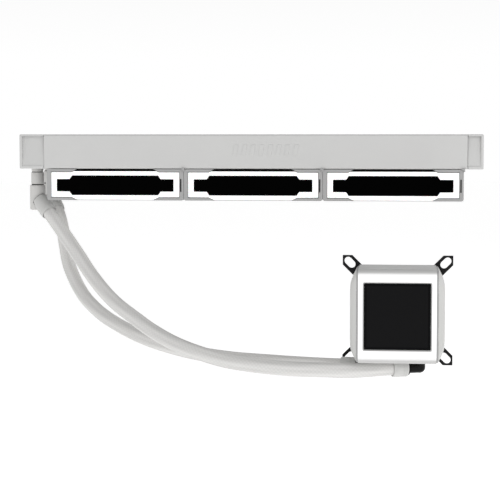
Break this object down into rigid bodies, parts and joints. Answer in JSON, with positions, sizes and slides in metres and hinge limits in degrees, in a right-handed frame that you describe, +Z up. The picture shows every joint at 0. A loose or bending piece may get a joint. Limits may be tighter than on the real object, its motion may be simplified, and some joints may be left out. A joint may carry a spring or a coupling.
{
  "type": "liquid cooling radiator",
  "caption": "Long liquid cooling radiator with square fans below it, hung by its top face, and a pump head with a square screen on two hoses.",
  "frame": {"origin": "middle of the radiator's top face, the face that goes against the case roof", "axes": "+X along the radiator away from its hose fittings, +Z up out of the top face, -Y towards the side where the pump head hangs"},
  "size_m": [0.4004, 0.238, 0.1951],
  "materials": {
    "white_paint": "fine satin powder coat",
    "white_plastic": "satin moulded",
    "grey_plastic": "satin moulded",
    "diffuser": "milky light diffuser",
    "mirror_black": "black mirror",
    "black_steel": "black satin",
    "aluminium": "brazed, painted white on the outside",
    "hose_sleeve": "fine braided sleeve",
    "copper": "machined copper",
    "winding": "enamelled copper wire on steel",
    "board": "solder mask",
    "glass": "dark screen cover",
    "rubber": "moulded"
  },
  "bodies": {
    "radiator": {"port_tank": "white_paint", "return_tank": "white_paint", "port_header": "aluminium", "return_header": "aluminium", "radiator_core": "aluminium", "side_rail_front": "white_paint", "side_rail_rear": "white_paint", "front_neck": "white_paint", "front_swivel_ring": "white_paint", "front_elbow": "white_paint", "front_collar": "white_plastic", "rear_neck": "white_paint", "rear_swivel_ring": "white_paint", "rear_elbow": "white_paint", "rear_collar": "white_plastic", "front_hose": "hose_sleeve", "rear_hose": "hose_sleeve", "fan_frame_1": "grey_plastic", "fan_stator_1": "winding", "front_light_bar_1": "diffuser", "rear_light_bar_1": "diffuser", "front_mirror_1": "mirror_black", "rear_mirror_1": "mirror_black", "fan_frame_2": "grey_plastic", "fan_stator_2": "winding", "front_light_bar_2": "diffuser", "rear_light_bar_2": "diffuser", "front_mirror_2": "mirror_black", "rear_mirror_2": "mirror_black", "fan_frame_3": "grey_plastic", "fan_stator_3": "winding", "front_light_bar_3": "diffuser", "rear_light_bar_3": "diffuser", "front_mirror_3": "mirror_black", "rear_mirror_3": "mirror_black"},
    "fan_rotor_1": {"fan_rotor_1": "white_plastic"},
    "fan_rotor_2": {"fan_rotor_2": "white_plastic"},
    "fan_rotor_3": {"fan_rotor_3": "white_plastic"},
    "pump_head": {"front_pump_elbow": "black_steel", "rear_pump_elbow": "black_steel", "front_pump_collar": "white_plastic", "rear_pump_collar": "white_plastic", "front_band": "white_plastic", "left_cheek": "white_plastic", "right_cheek": "white_plastic", "head_housing": "grey_plastic", "screen_glass": "glass", "display_module": "black_steel", "circuit_board": "board", "motor_stator": "winding", "volute_cover": "grey_plastic", "base_block": "grey_plastic", "seal_ring": "rubber", "cold_plate": "copper", "mounting_bracket": "black_steel", "bracket_screw_1": "black_steel", "bracket_screw_2": "black_steel", "bracket_screw_3": "black_steel", "bracket_screw_4": "black_steel"},
    "pump_impeller": {"pump_impeller": "white_plastic"}
  },
  "joints": [
    {"name": "fan_spin_1", "type": "hinge", "parent": "radiator", "child": "fan_rotor_1", "pos_m": [-0.12, 0, -0.045], "axis": [0, 0, 1], "continuous": true},
    {"name": "fan_spin_2", "type": "hinge", "parent": "radiator", "child": "fan_rotor_2", "pos_m": [0, 0, -0.045], "axis": [0, 0, 1], "continuous": true},
    {"name": "fan_spin_3", "type": "hinge", "parent": "radiator", "child": "fan_rotor_3", "pos_m": [0.12, 0, -0.045], "axis": [0, 0, 1], "continuous": true},
    {"name": "pump_head_swing", "type": "hinge", "parent": "radiator", "child": "pump_head", "pos_m": [-0.186, -0.012, -0.068], "axis": [0, 1, 0], "range_deg": [-10, 10], "deforming": ["front_hose", "rear_hose"]},
    {"name": "impeller_spin", "type": "hinge", "parent": "pump_head", "child": "pump_impeller", "pos_m": [0.1248, -0.14, -0.1429], "axis": [0, 1, 0], "continuous": true}
  ]
}
